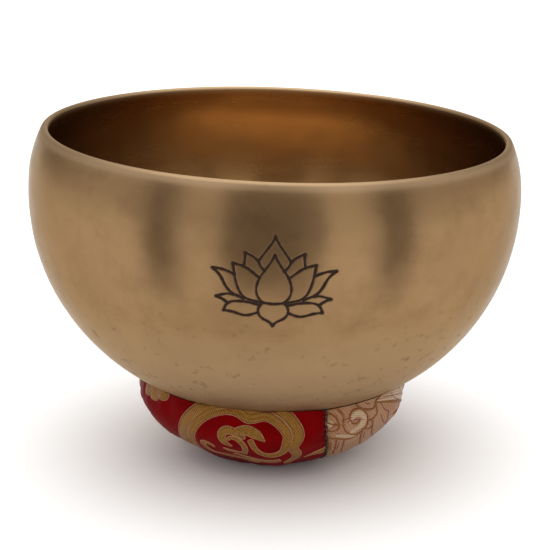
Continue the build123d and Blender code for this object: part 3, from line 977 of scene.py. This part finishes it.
def silk_thread(name, light, dark, period, metallic=0.0, hatch=(1.0, 0.25)):
    """Woven figure thread: rows of short floats with darker gaps between them."""
    n = Nodes(name)
    place = n.marked("cloth", "Vector")
    rows = stripes(n, place, hatch, period)
    fleck = n.noise(n.scaled(place, (2.4, 1.4, 1)), 1.0, 3.0, 0.6)
    gaps = n.math("MULTIPLY", rows, n.ramp(fleck, [(0.34, 0.0), (0.55, 1.0)]))
    colour = n.mix(gaps, light, dark)
    normal = n.bump(gaps, 0.4, 0.00015)
    normal = n.bump(fleck, 0.2, 0.0001, normal)
    return n.finish(Base_Color=colour, Roughness=0.45, Metallic=metallic, Normal=normal,
                    Specular_IOR_Level=0.25)


def cotton_thread():
    n = Nodes("dark_green_thread")
    fibre = n.noise(n.coordinates(), 2600.0, 3.0, 0.6)
    colour = n.mix(fibre, (0.006, 0.008, 0.006), (0.026, 0.028, 0.020))
    return n.finish(Base_Color=colour, Roughness=0.75, Normal=n.bump(fibre, 0.4, 0.0001))


def stuffing_fibre():
    n = Nodes("stuffing_fibre")
    fibre = n.noise(n.scaled(n.coordinates(), (300, 900, 500)), 1.0, 5.0, 0.7)
    colour = n.mix(fibre, (0.62, 0.57, 0.48), (0.80, 0.77, 0.70))
    return n.finish(Base_Color=colour, Roughness=0.95, Normal=n.bump(fibre, 0.8, 0.0006))


# --- the cushion's pieces ---

def cushion_piece(name, mesh, material, node):
    piece = new_object(name, mesh)
    mesh.materials.append(material)
    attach(piece, "cushion")
    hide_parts(node)
    return piece


def build_cushion():
    stuffing = cushion_piece("stuffing", stuffing_mesh(), stuffing_fibre(), "cushion_stuffing")
    grounds = {"red": red_satin(), "cream": cream_damask()}
    gold = silk_thread("gold_thread", (0.285, 0.122, 0.007), (0.050, 0.013, 0.0015),
                       metallic=0.15, hatch=(1.0, 0.8), period=1.15)
    rim = silk_thread("pale_rim_thread", (0.36, 0.20, 0.11), (0.24, 0.11, 0.06), period=0.8)
    amber = silk_thread("amber_thread", (0.24, 0.082, 0.008), (0.11, 0.026, 0.003), metallic=0.1, period=0.9)
    magenta = silk_thread("magenta_thread", (0.20, 0.008, 0.035), (0.15, 0.005, 0.02), period=0.7)
    ivory = silk_thread("ivory_thread", (0.46, 0.335, 0.205), (0.28, 0.155, 0.085),
                        hatch=(0.2, 1.0), period=0.9)
    figures = {
        "red_panel_front": (-100.0, 1),
        "red_panel_back": (63.0, -1),
        "cream_panel_right": (-52.0, 1),
        "cream_panel_left": (168.0, -1),
    }
    for name, (first, last) in PANELS.items():
        start, stop = SEAMS[first], SEAMS[last]
        stop += 360 if stop < start else 0
        ground = name.split("_")[0]
        panel = cushion_piece(name + "_cloth", panel_mesh(name, start, stop), grounds[ground], name)
        anchor, flip = figures[name]
        if ground == "red":
            bands, rims = red_figures(anchor, flip)
            groups = (("gold", bands, gold), ("rims", rims, rim))
        else:
            lines, veins, petals = cream_figures(anchor, flip)
            groups = (("petals", petals, ivory), ("lines", lines, amber), ("veins", veins, magenta))
        for word, parts, thread in groups:
            mesh = cloth_mesh(name + "_" + word, parts)
            cushion_piece(name + "_" + word, mesh, thread, name)
    thread = cotton_thread()
    for k, (seam, angle) in enumerate(SEAMS.items()):
        node = "stitches_" + seam
        cushion_piece("sewing_" + seam, sewn(node, seam_routes(angle, 60 + k)), thread, node)
    cushion_piece("sewing_closing", sewn("closing", closing_routes()), thread, "closing_stitches")


build_cushion()


# --- stage, light and camera ---

def build_floor():
    """A pale floor, so wide that its edge is never seen."""
    side = 20000.0
    corners = [(-side, -side, 0), (side, -side, 0), (side, side, 0), (-side, side, 0)]
    floor = new_object("floor", mesh_from("floor", corners, [(0, 1, 2, 3)]), smooth=False)
    n = Nodes("pale_floor")
    floor.data.materials.append(n.finish(Base_Color=(0.93, 0.93, 0.93, 1), Roughness=0.9))


# The even ceiling's level, and the sines of the elevations where it starts and takes over.
CEILING, CEILING_FROM, CEILING_FULL = 1.0, 0.55, 0.95
# How bright the studio is round the horizon: degrees from the front towards +X, and the level.
STUDIO = [
    (-180, 0.90), (-152, 0.55), (-130, 0.34), (-104, 0.72), (-76, 0.80), (-60, 0.76),
    (-34, 1.00), (-22, 0.95), (0, 1.00), (22, 0.95), (36, 1.10), (60, 0.68),
    (78, 0.78), (110, 0.76), (138, 0.36), (160, 0.60), (180, 0.90),
]
# Dark flags that only reflections see: degrees from the front, half the width, height in metres, and level.
FLAGS = [(-2, 17, 0.42, 0.30), (-42, 6.5, 0.34, 0.30), (43.5, 6.5, 0.34, 0.28)]
FLAG_DISTANCE, FLAG_FOOT, FLAG_TINT = 0.24, 0.001, (1, 0.94, 0.90, 1)


def set_world():
    """Soft boxes and darker gaps round the horizon, fading into an even ceiling."""
    world = bpy.data.worlds.new("studio")
    bpy.context.scene.world = world
    n = Nodes("studio", world)
    way = n.add("SeparateXYZ", Vector=n.coordinates("Generated")).outputs
    turn = n.math("ARCTAN2", way["X"], n.math("MULTIPLY", way["Y"], -1.0))
    part = n.math("MULTIPLY_ADD", turn, 0.5 / math.pi, 0.5)
    bands = n.ramp(part, [(angle / 360 + 0.5, level) for angle, level in STUDIO])
    bands.node.color_ramp.interpolation = "EASE"
    rise = n.add("MapRange", Value=way["Z"], From_Min=CEILING_FROM, From_Max=CEILING_FULL)
    n.finish(Color=n.mix(rise.outputs[0], bands, (CEILING, CEILING, CEILING)))


def dark_flags():
    """Upright grey cards in front, bent round the object, for the soft dark bands in the metal."""
    columns = 12
    for k, (angle, half, height, level) in enumerate(FLAGS):
        turns = np.radians(np.linspace(angle - half, angle + half, columns))
        ring = [(FLAG_DISTANCE * math.sin(t), -FLAG_DISTANCE * math.cos(t)) for t in turns]
        rows = [(x, y, z) for z in (FLAG_FOOT, height) for x, y in ring]
        mesh = mesh_from("flag", np.array(rows) / MM, grid_faces(2, columns))
        flag = new_object("flag_%d" % k, mesh)
        mesh.materials.append(Nodes("flag_cloth").finish(
            Base_Color=(0, 0, 0, 1), Specular_IOR_Level=0.0,
            Emission_Color=FLAG_TINT, Emission_Strength=level))
        flag.visible_camera = flag.visible_diffuse = flag.visible_shadow = False


def overhead_light(strength, spread):
    """A wide soft light straight above, even over the whole floor."""
    data = bpy.data.lights.new("overhead", "SUN")
    data.energy, data.angle = strength, math.radians(spread)
    new_object("overhead", data, smooth=False).location = (0, 0, 2)


def set_camera():
    elevation, distance, image = math.radians(16.5), 0.716, 550
    pixels_per_unit = 1729.0
    aim = Vector((0.0, -0.0011, 0.0750))
    data = bpy.data.cameras.new("camera")
    data.sensor_width = 36.0
    data.lens = pixels_per_unit / image * data.sensor_width
    data.clip_start, data.clip_end = 0.01, 50
    camera = new_object("camera", data, smooth=False)
    away = Vector((0, -math.cos(elevation), math.sin(elevation)))
    camera.location = aim + away * distance
    camera.rotation_euler = (-away).to_track_quat("-Z", "Y").to_euler()
    bpy.context.scene.camera = camera


build_floor()
set_world()
dark_flags()
overhead_light(strength=2.1, spread=80)
set_camera()
bpy.context.scene.view_settings.view_transform = "Standard"
